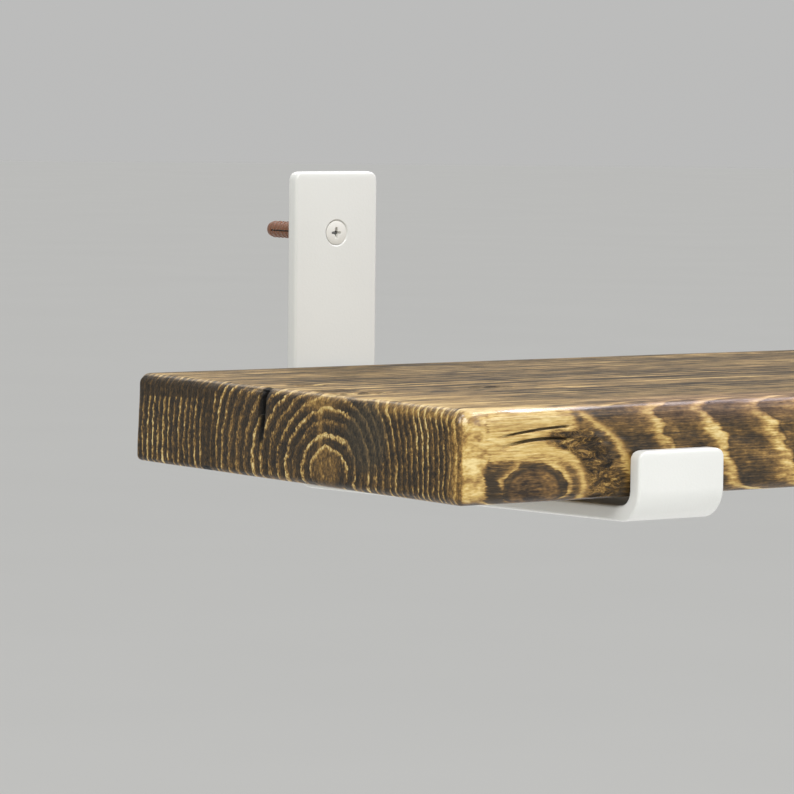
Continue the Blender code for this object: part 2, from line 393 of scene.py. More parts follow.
# Tone of the wood to colour, from deepest stain to bare
STAIN = ((0.0, linear(27, 22, 15)), (0.22, linear(56, 44, 27)), (0.42, linear(96, 73, 39)),
         (0.60, linear(143, 111, 60)), (0.80, linear(190, 160, 94)), (1.0, linear(217, 196, 138)))
BLUE_STAIN = (linear(38, 39, 38), linear(150, 142, 112))
# Top face drawn toward grey-brown: partly dust, partly painted sheen of the grazing reflection
TOP_DUST_AND_SHEEN = (linear(50, 43, 32), linear(190, 163, 118))
# Painted highlight: pink-lilac tint for the top of the front edge and its arris
LILAC_HIGHLIGHT_TINT = (linear(66, 46, 44), linear(186, 150, 120))
KNOT_STAIN = (linear(54, 38, 22), linear(178, 134, 76))
# Painted shade: the open splits, check, chip, shakes and worm tracks are coloured this very dark
# brown-grey
CRACK_SHADE = linear(15, 14, 13)


def split_height(x, split):
    """Height of a front split at x; works on numbers and on shader values."""
    start, height, rise, bow = split
    return height + (x - start) * rise + (x - start) * (SPLIT_END - x) * bow


def bell(value, centre, width):
    """1 at the centre, falling smoothly to nothing about two widths away."""
    t = (value - centre) / width
    return (t * t * -1.0).exp()


def oval(a, b, centre, halves):
    """Squared distance from the centre of an ellipse: 1 on its rim."""
    u, v = (a - centre[0]) / halves[0], (b - centre[1]) / halves[1]
    return u * u + v * v


class Pine(Paint):
    """Stained softwood as one solid, so that rings, knot and grain agree on every face.

    A tone from 0 (deepest stain) to 1 (bare wood) is built up face by face and mark by mark,
    then coloured. Steps written (high, low) fall from 1 to 0.
    """

    def __init__(self):
        super().__init__("stained_pine", linear(110, 85, 50))
        self.x = self.x - END_X
        self.forward = self.y * -1.0
        normal_x, normal_y, self.normal_z = self.split(self.facing)
        self.end_face = normal_x.abs().step(0.45, 0.85)
        self.top_face = self.normal_z.step(0.55, 0.95)
        self.front_face = (normal_y * -1.0).step(0.45, 0.85)
        self.back_face = normal_y.step(0.4, 0.8)
        self.front_skin = self.forward.step(196, 221)
        self.left_end = self.x.step(16, 3) * self.end_face
        self.front = self.front_skin * self.front_face
        self.sweep = (self.z - 8.0).max(0.0)
        for name, (size, shift, detail, rough) in GRAIN.items():
            setattr(self, name, self.noise(self.scaled(*size, shift), detail, rough))
        self.bent = self.crook * 2.6
        self.place_knot()
        self.grow_rings()

    def place_knot(self):
        """The branch that ends in the knot on the front edge, widening as it comes forward."""
        branch = self.forward.step(140, 226, 1.5, 11.4)
        self.knot_dx, self.knot_dz = self.x - KNOT_X, self.z - KNOT_Z
        along, up = self.knot_dx / branch, self.knot_dz / (branch * 0.70)
        self.near_knot = (along * along + up * up).sqrt() + self.bent * 0.11
        self.inward = self.forward.step(141, 152)

    def ring_radius(self):
        """Distance from the pith, with each side's own ring spacing, pushed out round the knot."""
        far = self.x.step(40, 320)
        dy = self.y - PITH_Y + self.coarse_y * 30.0 * far + self.wave_y * 3.4
        dz = self.z - PITH_Z + self.coarse_z * 26.0 * far + self.wave_z * 3.4
        to_wall, to_front = dy.max(0.0), (dy * -1.0).max(0.0)
        across = to_wall * 0.60 + (to_wall - 30.0).max(0.0) * 0.25
        across = across + (to_wall - 72.0).soft_max(0.0, 8.0) * 0.40
        across = across + to_front * 0.60 + (to_front - 16.0).soft_max(0.0, 6.0) * 0.45
        across = across + (to_front - 45.0).soft_max(0.0, 8.0) * 0.40
        radius = (across * across + dz * dz).sqrt() + to_wall.min(30.0) * 0.25
        slant = (self.x - BAND_START).max(0.0).min(150.0) * 0.18
        ripple = self.ripple * 26.0 * self.x.step(150, 300)
        radius = radius + (slant + ripple + self.sweep * self.sweep * 0.0018) * self.front_skin
        return radius + (self.near_knot * self.near_knot * -0.30).exp() * 11.0 * self.inward

    def grow_rings(self):
        """Late wood, pale bands and flanks of each ring; no two rings are alike."""
        radius = self.ring_radius()
        drift = self.drift * (self.front_skin * -0.15 + 0.45)
        count = radius / RING + self.fray * (self.front_skin * -0.22 + 0.40) + drift
        index, phase = count.floor(), count.fract()
        pick, self.pick_tone = self.random(index, 0.37), self.random(index, 5.11)
        late = phase.step(0.36, 0.80) * phase.step(1.0, 0.90)
        self.late = late * late * (pick * 0.9 + 0.35)
        self.band = phase.step(0.62, 0.86) * phase.step(1.0, 0.88) * (pick * 0.30 + 0.85)
        self.flank = phase.step(0.35, 0.75) * phase.step(1.0, 0.93)
        self.halo = phase.step(0.28, 0.78) * phase.step(1.0, 0.90) * (pick * 0.5 + 0.6)
        self.half_ring = ((count * 2.0 + pick * 0.5).fract() - 0.5).abs().step(0.30, 0.48) * 0.35
        self.from_pith = (radius + (self.z - 8.0).min(0.0) * 0.5).step(4.5, 10, 0.15, 1.0)
        self.late_end = self.late * self.from_pith * (self.group * 2.0 + 0.95).max(0.25).min(1.25)

    def end_tone(self):
        tone = self.late_end * 0.38 + self.halo * self.from_pith * 0.20
        tone = tone + self.half_ring * self.late.step(0.5, 0.0) * 0.30 + self.group * 0.22
        tone = tone + self.y.step(-50, -75, 0.09, 0.14) + self.speck * (self.late_end * 1.7 + 0.95)
        return tone + self.grit * 0.60 + self.cloud * 0.25 + self.blot * 0.40

    def side_tone(self):
        """Front edge and underside: pale bands, left out beside the torn grain."""
        curve = self.x + self.sweep * self.sweep * 0.03
        sound = 1.0 - self.x.step(50, 56) * curve.step(87, 82) * self.front_skin
        band = self.band * (self.blot * 1.6 + 0.90).max(0.3).min(1.1) * sound
        tone = band * 0.38 + self.flank * sound * 0.14 + 0.325 + (self.pick_tone - 0.5) * 0.18
        tone = tone + self.speck * 0.6 + self.grit * 0.30
        return tone + self.fibre * 0.75 + self.cloud * 0.35 + self.blot * 0.70 + self.pore * 0.35

    def top_tone(self):
        """Worn; paler toward the left end and the front edge. The grey tint over the top is added
        in build.
        """
        tone = self.late * 0.34 + self.flank * 0.08 + 0.14
        tone = tone + self.plank * 0.95 + self.weave * 1.35 + self.scuff * 1.05
        tone = tone + self.streak * 0.85 + self.fibre * 0.9 + self.speck * 0.35
        tone = tone + self.y.step(-60, -130) * self.x.step(110, 10) * 0.13
        tone = tone + self.y.step(-175, -217) * 0.16
        return tone + self.x.step(50, 4) * 0.14 + self.x.step(14, 1) * 0.14

    def back_tone(self):
        tone = self.late * 0.22 + 0.26 + self.weave * 0.9 + self.fibre * 1.1
        return tone + self.blot * 0.6 + self.cloud * 0.4

    def mark_end(self, tone):
        """End grain: where the stain went in deep, and where it did not."""
        y, z = self.y, self.z
        dark_gap = bell(y, DARK_GAP_Y, 5.0) * 0.75
        band_low = (y + 10.0) * -0.037 + 26.1 + self.bent * 0.25
        dark_band = (z - band_low).step(-0.5, 0.5) * y.step(-74, -60) * 0.97
        self.blue_zone = oval(y, z, *BLUE_SPOT).step(1.5, 0.35) * 0.75
        self.end_dark = dark_gap.max(dark_band).max(self.blue_zone).min(1.0) * self.left_end
        dark = self.late_end * 0.16 + self.grit * 0.8 + self.speck * 0.7 + 0.13
        tone = lerp(tone, dark, self.end_dark)

        heart = oval(y, z, *HEART).step(1.6, 0.2) * 0.62
        off_ray = y - RAY_Y
        ray = ((off_ray + self.bent * 0.5) / 2.2 * (off_ray / 2.2) * -1.0).exp()
        ray = ray * z.step(8, 12) * 0.80
        cap = z.step(25, 31) * y.step(-124, -131) * y.step(-156, -142)
        cap = (cap + z.step(28, 32.5) * y.step(-165, -185)).min(1.0) * 0.85
        fore_edge = y.step(-217.5, -222.5) * 0.75
        pale = heart.max(ray).max(cap).max(fore_edge).min(1.0) * self.left_end
        bare = self.late_end * 0.25 + self.grit * 0.8 + self.speck * 0.8 + 0.56
        return lerp(tone, bare, pale)

    def mark_front(self, tone):
        """Front edge: worn corner, golden field above the knot, torn grain to its right."""
        x, z, knot_dx = self.x, self.z, self.knot_dx
        ragged = self.bent + self.pore * 7.0 + self.blot * 4.0
        self.corner = (x + ragged * 0.8).step(13.2, 10.8) * x.step(1.2, 2.6) * self.front
        golden = (x + ragged).step(10, 14) * (x + z * 0.55 + ragged).step(71, 66)
        golden = golden * (z + ragged * 0.6).step(12, 17)

        stretched = knot_dx / knot_dx.step(-2, 4, 1.0, 1.55)
        reach = (stretched * stretched + self.knot_dz * self.knot_dz).sqrt() + self.bent * 0.8
        arc = bell(reach, ARC_RADIUS, 1.5) * (knot_dx + z * 0.4).step(-4, 5)
        torn_edge = x + (z - 5.0) * (z - 5.0).max(0.0) / 33.0 + ragged * 0.7
        torn = reach.step(15.4, 17.2) * torn_edge.step(73.5, 71.0)
        self.torn = torn * (z + ragged).step(29, 24) * knot_dx.step(2, 12) * self.front
        first_band = bell(x + self.sweep * self.sweep * 0.04 + ragged * 0.9, 77.5, 2.6)
        first_band = first_band * z.step(35, 31) * z.step(4, 9)
        wedge = (x + z * 0.45 + ragged * 0.5 - 18.4).abs().step(3.4, 1.6) * z.step(15, 9)

        torn_noise = self.noise(self.scaled(6.5, 3, 2.4, (3, 0, 8)), 4.0, 0.78, distortion=0.9)
        self.torn_tone = torn_noise * 2.9 + 0.345
        golden_tone = self.fibre * 1.1 + 0.85 + self.blot * 0.6 + self.pore * 0.5
        tone = lerp(tone, self.speck * 0.9 + 0.82 + self.blot * 1.1, self.corner * 0.94)
        tone = lerp(tone, golden_tone, golden * self.front * 0.88)
        tone = lerp(tone, self.torn_tone, self.torn * 0.9)
        tone = lerp(tone, self.pore * 0.6 + 0.14, wedge * self.front * 0.85)
        return lerp(tone, self.pore * 0.5 + 0.84, arc.max(first_band) * self.front * 0.85)

    def mark_knot(self, tone):
        """Dark eye with close rings of its own, and a darker rim."""
        lines = ((self.near_knot * 4.6 + self.fray * 0.6).fract() - 0.5).abs() * 2.0
        eye = lines * 0.11 + 0.22 + self.pore * 0.8 + self.speck * 0.7 + self.blot * 1.5
        eye = eye + self.near_knot.step(0.2, 0.8) * 0.10
        eye = eye - (self.knot_dx - 1.5).abs().step(4.0, 1.0) * 0.10
        self.knot = self.near_knot.step(1.04, 0.94) * self.inward
        rim = bell(self.near_knot, 1.02, 1 / 11.0) * self.inward
        rim = rim * (self.blot * 4.0 + 0.55).max(0.0).min(0.9)
        return lerp(lerp(tone, eye, self.knot), 0.10, rim)

    def painted_crack_shade(self):
        """Painted shade in everything open: front splits, the check, a chip, shakes and worm
        tracks, as a mask that colours them very dark.
        """
        x, y, z = self.x, self.y, self.z
        upper = (z - split_height(x, UPPER_SPLIT) - self.bent * 0.30).abs().step(0.55, 0.12)
        lower = (z - split_height(x, LOWER_SPLIT) - self.bent * 0.35).abs().step(0.75, 0.20)
        upper = upper * x.step(16.5, 24) * x.step(50, 47)
        lower = lower * x.step(21, 30) * x.step(51, 47)
        splits = upper.max(lower) * self.forward.step(219, 222)

        off_check = y - CHECK_Y + (z - CHECK_MIDDLE) * CHECK_LEAN + self.bent * 0.25
        check = (off_check / (z.step(8, 30, 0.70, 2.50) + 0.02)).abs().step(1.5, 0.6)
        check = check * z.step(10, 16)
        chip = (oval(y, z, *CHIP) + self.bent * 0.3).step(1.2, 0.6)

        shake = (self.hairline - 0.17).step(0.0, 0.05) * x.step(60, 20)
        shake = shake * y.step(-60, -90) * self.top_face
        sway = self.grit * 6.0 + self.pore * 3.0
        for start, stop, middle, half in SHAKES:
            dash = ((y - middle).abs() + sway).step(half, half * 0.15)
            dash = dash * x.step(start, start + SHAKE_LEAD) * x.step(stop, stop - SHAKE_TAIL)
            shake = shake.max(dash * self.normal_z.step(0.5, 0.8))
        worm = (self.worm - 0.19).step(0.0, 0.06) * (self.late * -1.4 + 1.0).max(0.0)
        worm = worm * self.front_face * x.step(46, 56) * 0.75
        crack_shade = (splits * 0.85).max(check.max(chip) * x.step(4.5, 2.5))
        return crack_shade.max(shake * 0.8).max(worm).min(1.0)

    def tinted(self, wood, tone, shades, amount):
        """The wood, drawn toward another pair of dark and pale shades."""
        return self.mix(wood, self.mix(*shades, tone), amount)

    def build(self):
        tone = lerp(self.side_tone(), self.back_tone(), self.back_face)
        tone = lerp(tone, self.end_tone(), self.end_face)
        tone = lerp(tone, self.top_tone(), self.top_face)
        tone = self.mark_knot(self.mark_front(self.mark_end(tone)))
        crack_shade = self.painted_crack_shade()

        # Painted highlight: lilac tint over the top of the front edge, growing in from 40 mm past
        # the left end
        lilac_highlight = self.z.step(24, 33) * self.front_skin * self.x.step(40, 110)
        wood = self.ramp(tone, STAIN)
        wood = self.tinted(wood, tone, BLUE_STAIN, self.blue_zone * self.left_end * 0.40)
        # Partly dust, partly painted sheen: the whole top face greyed
        wood = self.tinted(wood, tone, TOP_DUST_AND_SHEEN, self.top_face * 0.60)
        wood = self.tinted(wood, tone, LILAC_HIGHLIGHT_TINT, lilac_highlight * 0.45)
        wood = self.tinted(wood, tone, KNOT_STAIN, self.knot * 0.45)
        # Painted shade: the open splits, check, chip, shakes and worm tracks drawn toward very dark
        wood = self.mix(wood, CRACK_SHADE, crack_shade)

        relief = self.late * 0.30 + self.fibre * 0.45 + self.pore * 0.55
        relief = relief + self.torn * self.torn_tone * 1.6 - crack_shade * 1.6
        rough = self.blot * 0.25 + 0.42 + self.top_face * 0.27 + self.torn * 0.18
        rough = rough + self.end_dark * 0.08 - self.corner * 0.08
        polished = self.forward.step(218, 224) * self.z.step(25, 31) * self.x.step(75, 30)
        coat = polished * 0.75 + 0.34 - self.torn * 0.25 - crack_shade * 0.3
        coat = (coat * (1.0 - self.normal_z.step(0.90, 0.99) * 0.95)).max(0.0)
        coat = coat * (1.0 - self.end_face * 0.6)
        self.set(Base_Color=wood, Roughness=rough.max(0.2), Normal=self.bump(relief, 0.40),
                 Coat_Weight=coat, Coat_Roughness=0.26, Specular_IOR_Level=0.16)
        return self.material


# ---- metal and nylon
def make_powder_coat():
    p = Paint("white_powder_coat", linear(228, 227, 222))
    peel = p.noise(p.scaled(0.9, 0.9, 0.9), detail=2.0, rough=0.4)
    cloud = p.noise(p.scaled(38, 38, 38), detail=2.0)
    colour = p.mix(linear(209, 210, 206), linear(216, 217, 213), cloud + 0.5)
    return p.set(Base_Color=colour, Roughness=cloud * 0.08 + 0.36, Normal=p.bump(peel, 0.035),
                 Coat_Weight=0.15, Coat_Roughness=0.2)


def make_painted_head():
    """White enamel; in the recess partly bare metal, partly painted shade that grows with depth."""
    p = Paint("white_painted_steel", linear(222, 220, 214))
    peel = p.noise(p.scaled(0.5, 0.5, 0.5), detail=2.0)
    # Painted shade: deeper in the recess the mask turns the head grey and metallic, alongside the
    # bare metal
    depth = (p.z * -1.0).step(0.5, 2.0)
    wear_and_shade = p.noise(p.scaled(0.8, 0.8, 0.8, (3, 1, 2)), detail=3.0) + depth * 0.9
    bare = wear_and_shade.step(0.35, 0.6)
    colour = p.mix(linear(216, 215, 209), linear(120, 120, 118), bare)
    return p.set(Base_Color=colour, Roughness=peel * 0.1 + 0.4, Metallic=bare * 0.8,
                 Normal=p.bump(peel, 0.03))


def make_zinc():
    p = Paint("zinc_plated_steel", linear(180, 180, 176))
    grain = p.noise(p.scaled(0.35, 0.35, 0.35), detail=3.0)
    tint = p.noise(p.scaled(2.5, 2.5, 2.5, (1, 2, 3)), detail=2.0)
    colour = p.mix(linear(186, 184, 172), linear(170, 178, 186), tint + 0.5)
    return p.set(Base_Color=colour, Roughness=grain * 0.25 + 0.34, Metallic=1.0,
                 Normal=p.bump(grain, 0.02))


def make_nylon():
    p = Paint("brown_nylon", linear(112, 72, 48))
    cloud = p.noise(p.scaled(5, 5, 5), detail=3.0)
    grain = p.noise(p.scaled(0.25, 0.25, 0.25), detail=2.0)
    colour = p.mix(linear(104, 64, 42), linear(126, 84, 58), cloud + 0.5)
    return p.set(Base_Color=colour, Roughness=grain * 0.15 + 0.45, Normal=p.bump(grain, 0.02),
                 Subsurface_Weight=0.08, Subsurface_Scale=0.002)


# ---- board
TOP_ROUND, BOTTOM_FRONT_ROUND, BOTTOM_BACK_ROUND = 4.2 * MM, 3.6 * MM, 2.2 * MM
ARRIS_STEPS = 6
# How far inside a face a point still counts as lying on it
FACE_SKIN = 0.5 * MM
# Deepest cuts, in millimetres
CHECK_DEPTH, SHAKE_DEPTH, UPPER_SPLIT_DEPTH, LOWER_SPLIT_DEPTH = 3.0, 1.3, 0.9, 1.1


def grid_lines(low, high, spans):
    """Positions along one side: close together in the rounded arrises, then each span's own step.

    spans holds (where the span ends, its step), the last one reaching the far arris.
    """
    arris = TOP_ROUND * 1.15
    lines = [low + arris * step / ARRIS_STEPS for step in range(ARRIS_STEPS)]
    start = low + arris
    for stop, pitch in spans:
        stop = min(stop, high - arris)
        if stop <= start:
            continue
        count = max(1, round((stop - start) / pitch))
        lines += [lerp(start, stop, step / count) for step in range(count)]
        start = stop
    lines += [high - arris + arris * step / ARRIS_STEPS for step in range(ARRIS_STEPS + 1)]
    return lines


def arris_radius(point):
    """Rounding at this point: larger on top, uneven, and knocked off at the left front corner."""
    height = (point.z - BOARD_LOW.z) / BOARD_SIZE.z
    depth = (point.y - BOARD_LOW.y) / BOARD_SIZE.y
    bottom = lerp(BOTTOM_FRONT_ROUND, BOTTOM_BACK_ROUND, smoothstep(0.1, 0.9, depth))
    base = lerp(bottom, TOP_ROUND, smoothstep(0.15, 0.85, height))
    uneven = noise.noise(Vector((point.x * 28, point.y * 28, point.z * 40)))
    from_left, from_front = (point.x - BOARD_LOW.x) / MM, (point.y - BOARD_LOW.y) / MM
    knocked = (1 - smoothstep(2, 24, from_left)) * (1 - smoothstep(2, 20, from_front))
    knocked *= smoothstep(0.35, 1.0, height)
    return base * (1 + 0.16 * uneven) * (1 + 0.80 * knocked)


def groove(off, inner, outer):
    """Cross-section of a cut: 1 up to the inner distance, nothing past the outer one."""
    return 1 - smoothstep(inner, outer, off)


def front_carving(x, z):
    """The two splits, the torn grain and a little unevenness further along."""
    ends = smoothstep(16, 26, x) * (1 - smoothstep(47, 50, x))
    depth = UPPER_SPLIT_DEPTH * ends * groove(abs(z - split_height(x, UPPER_SPLIT)), 0.1, 0.6)
    depth += LOWER_SPLIT_DEPTH * ends * groove(abs(z - split_height(x, LOWER_SPLIT)), 0.15, 0.75)
    torn = smoothstep(50, 56, x) * (1 - smoothstep(68, 78, x)) * (1 - smoothstep(22, 29, z))
    depth += torn * max(0.0, 0.35 + 0.9 * noise.noise(Vector((x / 5, z / 2.2, 3.0))))
    waves = max(0.0, noise.noise(Vector((x / 16, z / 6, 9.0))))
    return depth + 0.35 * waves * smoothstep(70, 90, x)


def top_carving(x, y):
    """The torn shakes near the left end."""
    depth = 0.0
    for start, stop, middle, half in SHAKES:
        along = smoothstep(start, start + SHAKE_LEAD, x)
        along *= 1 - smoothstep(stop - SHAKE_TAIL, stop, x)
        off = abs(y - middle) + 3.0 * noise.noise(Vector((x / 6, y / 4, 1.0)))
        depth += SHAKE_DEPTH * along * groove(off, half * 0.45, half * 0.9)
    return depth


def end_carving(y, z):
    """The check, open toward the top, and the unevenness of sawn end grain."""
    half = 0.45 + 1.15 * smoothstep(8, 30, z)
    off = abs(y - (CHECK_Y - (z - CHECK_MIDDLE) * CHECK_LEAN))
    depth = CHECK_DEPTH * smoothstep(10, 20, z) * groove(off, half * 0.5, half * 1.3)
    return depth + 0.22 * max(0.0, noise.noise(Vector((y / 4, z / 9, 5.0))))


def carving(point):
    """Depth cut into the surface at a point of the sharp box."""
    x, y, z = (point.x - BOARD_LOW.x) / MM, point.y / MM, point.z / MM
    depth = 0.0
    if point.y < BOARD_LOW.y + FACE_SKIN:
        depth += front_carving(x, z)
    if point.z > BOARD_HIGH.z - FACE_SKIN:
        depth += top_carving(x, y)
    if point.x < BOARD_LOW.x + FACE_SKIN:
        depth += end_carving(y, z)
    return depth * MM


def rounded_point(point):
    """Moves a point on the sharp box onto the rounded, slightly uneven board."""
    radius = arris_radius(point)
    inner = Vector()
    for axis in range(3):
        inner[axis] = min(max(point[axis], BOARD_LOW[axis] + radius), BOARD_HIGH[axis] - radius)
    outward = (point - inner).normalized()
    on_arris = 1.0 - max(abs(c) for c in outward)
    wear = 0.9 * MM * on_arris * (0.5 + noise.noise(point * 60))
    hollow = 0.16 * MM * (noise.noise(Vector((point.x * 9, point.y * 30, point.z * 40))) - 0.4)
    return inner + outward * (radius - max(wear, 0.0) + min(hollow, 0.0) - carving(point))


def make_board(material):
    """A grid over the sharp box, pulled onto the worn board; finest at the check and the splits."""
    low, high = BOARD_LOW, BOARD_HIGH
    xs = grid_lines(low.x, high.x, ((low.x + 100 * MM, 1.6 * MM), (low.x + 340 * MM, 3.2 * MM),
                                    (high.x, 5.0 * MM)))
    ys = grid_lines(low.y, high.y, ((-101.5 * MM, 2.6 * MM), (-95.0 * MM, 0.4 * MM),
                                    (high.y, 2.6 * MM)))
    zs = grid_lines(low.z, high.z, ((20.5 * MM, 2.0 * MM), (28.5 * MM, 0.26 * MM),
                                    (high.z, 2.0 * MM)))
    bm = bmesh.new()
    found = {}

    def vert(i, j, k):
        key = (i, j, k)
        if key not in found:
            found[key] = bm.verts.new(rounded_point(Vector((xs[i], ys[j], zs[k]))))
        return found[key]

    def face(*corners):
        bm.faces.new([vert(*corner) for corner in corners])

    last_i, last_j, last_k = len(xs) - 1, len(ys) - 1, len(zs) - 1
    for i in range(last_i):
        for j in range(last_j):
            for k in (0, last_k):
                face((i, j, k), (i + 1, j, k), (i + 1, j + 1, k), (i, j + 1, k))
        for k in range(last_k):
            for j in (0, last_j):
                face((i, j, k), (i + 1, j, k), (i + 1, j, k + 1), (i, j, k + 1))
    for j in range(last_j):
        for k in range(last_k):
            for i in (0, last_i):
                face((i, j, k), (i, j + 1, k), (i, j + 1, k + 1), (i, j, k + 1))
    return add_object("shelf_board", bm, material)


# ---- brackets
UPRIGHT_SPANS, ARM_SPANS = 8, 12
# Distances from a cut end of the bar, in millimetres, at which its rounding is drawn
END_DEPTHS = (0.0, 0.05, 0.18, 0.36, 0.6, 0.9, 1.2, 1.7, 2.3, 3.0, 3.8)
# A station this far from the cut ends has the full section
CLEAR_OF_ENDS = 1.0


def bar_path(steps=22):
    """Centre line of the bar as (y, z, turn), from the upright's top to the lip's top."""
    half = BAR_THICK / 2
    wall_r, lip_r = WALL_BEND + half, LIP_BEND + half
    sin_rise, cos_rise, tan_rise = math.sin(ARM_RISE), math.cos(ARM_RISE), math.tan(ARM_RISE)

    def arm_centre(y):
        return -ARM_DROP - y * tan_rise - half / cos_rise

    wall_cy = -half - wall_r
    wall_cz = arm_centre(wall_cy - wall_r * sin_rise) + wall_r * cos_rise
    lip_cy = LIP_FACE - half + lip_r
    lip_cz = arm_centre(lip_cy - lip_r * sin_rise) + lip_r * cos_rise
    path = [(-half, lerp(BAR_HIGH.z, wall_cz, step / UPRIGHT_SPANS), 0.0)
            for step in range(UPRIGHT_SPANS)]
    for step in range(steps + 1):
        turn = (math.pi / 2 + ARM_RISE) * step / steps
        path.append((wall_cy + wall_r * math.cos(turn), wall_cz - wall_r * math.sin(turn), turn))
    arm_y, arm_z, arm_turn = path[-1]
    arm_end = (lip_cy - lip_r * sin_rise, lip_cz - lip_r * cos_rise)
    for step in range(1, ARM_SPANS):
        t = step / ARM_SPANS
        path.append((lerp(arm_y, arm_end[0], t), lerp(arm_z, arm_end[1], t), arm_turn))
    for step in range(steps + 1):
        turn = ARM_RISE + (math.pi / 2 - ARM_RISE) * step / steps
        path.append((lip_cy - lip_r * math.sin(turn), lip_cz - lip_r * math.cos(turn),
                     math.pi / 2 + turn))
    path.append((LIP_FACE - half, LIP_TOP, math.pi))
    return path


def drawn_in(radius, depth):
    """How far a quarter-round of this radius lies inside the full size, at a depth from its end."""
    if depth >= radius:
        return 0.0
    return radius - math.sqrt(radius ** 2 - (radius - depth) ** 2)


def bar_section(depth, arc=6):
    """Outline of the bar as (across, through), at a depth from its cut end."""
    inset = drawn_in(BAR_EDGE, depth)
    half_width = BAR_WIDTH / 2 - inset - drawn_in(BAR_CORNER, depth)
    half_thick = BAR_THICK / 2 - inset
    radius = max(BAR_EDGE - inset, 0.04 * BAR_EDGE)
    points = []
    for corner, (side_x, side_n) in enumerate(((1, 1), (-1, 1), (-1, -1), (1, -1))):
        for step in range(arc):
            turn = math.pi / 2 * (corner + step / (arc - 1))
            points.append((side_x * (half_width - radius) + radius * math.cos(turn),
                           side_n * (half_thick - radius) + radius * math.sin(turn)))
    return points


def sink_cutter(sink_r, hole_r, place, steps=48):
    """Countersunk hole through the bar, with a small lead-in at the face."""
    bm = bmesh.new()
    cone = SINK_STRAIGHT + sink_r - hole_r
    seat_r = sink_r - SINK_CLEARANCE
    lead_r = sink_r + 0.25 * MM
    profile = ((lead_r, BEYOND), (lead_r, 0.02 * MM), (sink_r, -0.12 * MM),
               (seat_r, -SINK_STRAIGHT), (hole_r, -cone + SINK_CLEARANCE),
               (hole_r, -BAR_THICK - BEYOND))
    ring_mesh(bm, [circle(radius, height, steps) for radius, height in profile])
    return add_object("cutter", bm, powder_coat, place)


def make_bracket(side, material):
    low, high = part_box("bracket_" + side)
    centre_x = (low.x + high.x) / 2
    path = bar_path()
    (top_y, top_z, top_turn), (lip_y, lip_z, lip_turn) = path[0], path[-1]
    stations = [(top_y, top_z - d * MM, top_turn, d * MM) for d in END_DEPTHS]
    stations += [(y, z, turn, CLEAR_OF_ENDS) for y, z, turn in path[1:-1]]
    stations += [(lip_y, lip_z - d * MM, lip_turn, d * MM) for d in reversed(END_DEPTHS)]
    rings = []
    for y, z, turn, depth in stations:
        across = Vector((0.0, math.cos(turn), -math.sin(turn)))
        rings.append([Vector((centre_x + x, y, z)) + across * n for x, n in bar_section(depth)])
    bm = bmesh.new()
    ring_mesh(bm, rings)
    bracket = add_object("bar_" + side, bm, material)
    cutters = []
    for level in LEVELS:
        cutters.append(sink_cutter(WALL_SINK_R, WALL_HOLE_R, wall_place(side, level, -BAR_THICK)))
    for spot in SPOTS:
        cutters.append(sink_cutter(ARM_SINK_R, ARM_HOLE_R, arm_place(side, spot, 0.0)))
    subtract(bracket, cutters)
    smooth(bracket, 24)
    return bracket


def wall_place(side, level, y):
    """Local +Z points into the room along the wall screw's axis."""
    low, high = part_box(f"wall_screw_{side}_{level}")
    spot = Vector(((low.x + high.x) / 2, y, (low.z + high.z) / 2))
    return Matrix.Translation(spot) @ Matrix.Rotation(math.pi / 2, 4, "X")


def arm_place(side, spot, recess):
    """Local +Z points down, square to the arm's lower face, where the board screw enters."""
    low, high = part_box(f"board_screw_{side}_{spot}")
    turn = Matrix.Rotation(math.pi - ARM_RISE, 4, "X")
    head_y = (low.y + high.y) / 2 - 0.5 * (high.z - low.z) * math.tan(ARM_RISE)
    z = -ARM_DROP - head_y * math.tan(ARM_RISE) - BAR_THICK / math.cos(ARM_RISE) + recess
    return Matrix.Translation(Vector(((low.x + high.x) / 2, head_y, z))) @ turn


def pilot_cutter(side, spot, steps=24):
    """Blind hole in the board along a board screw's axis, from just below the underside."""
    place = arm_place(side, spot, 0.0)
    underside = BAR_THICK + ARM_DROP + place.translation.y * math.tan(ARM_RISE)
    bm = bmesh.new()
    ring_mesh(bm, [circle(PILOT_R, 1.5 * BEYOND - underside, steps),
                   circle(PILOT_R, -underside - PILOT_DEPTH, steps)])
    return add_object("cutter", bm, powder_coat, place)


# ---- screws
# recess: the driver's reach, half width and depth
WALL_SCREW = dict(head_r=4.9 * MM, core_r=1.65 * MM, thread_r=2.3 * MM, length=50 * MM,
                  shank=9 * MM, pitch=2.2 * MM, recess=(2.3 * MM, 0.62 * MM, 1.9 * MM))
BOARD_SCREW = dict(head_r=3.9 * MM, core_r=1.4 * MM, thread_r=2.0 * MM, length=32 * MM,
                   shank=8 * MM, pitch=1.8 * MM, recess=(2.1 * MM, 0.42 * MM, 1.8 * MM))
SCREW_TIP = 6.0 * MM
# Plain shank against the thread's crest, and half a crest's width against the pitch
SHANK_SHARE, CREST_SHARE = 0.86, 0.22


def cross_cutter(reach, half_width, depth, place):
    """Four-winged driver recess with tapering wings and a small square between them."""
    bm = bmesh.new()

    def outline(scale, height):
        a, b = reach * scale, half_width * (0.55 + 0.45 * scale)
        c = b * 1.35
        tip = b * 0.8
        points = ((a, tip), (c, b), (c, c), (b, c), (tip, a),
                  (-tip, a), (-b, c), (-c, c), (-c, b), (-a, tip),
                  (-a, -tip), (-c, -b), (-c, -c), (-b, -c), (-tip, -a),
                  (tip, -a), (b, -c), (c, -c), (c, -b), (a, -tip))
        return [Vector((px, py, height)) for px, py in points]

    ring_mesh(bm, [outline(1.12, 0.6 * MM), outline(1.0, 0.0),
                   outline(0.8, -0.45 * depth), outline(0.35, -depth)])
    return add_object("cutter", bm, powder_coat, place)


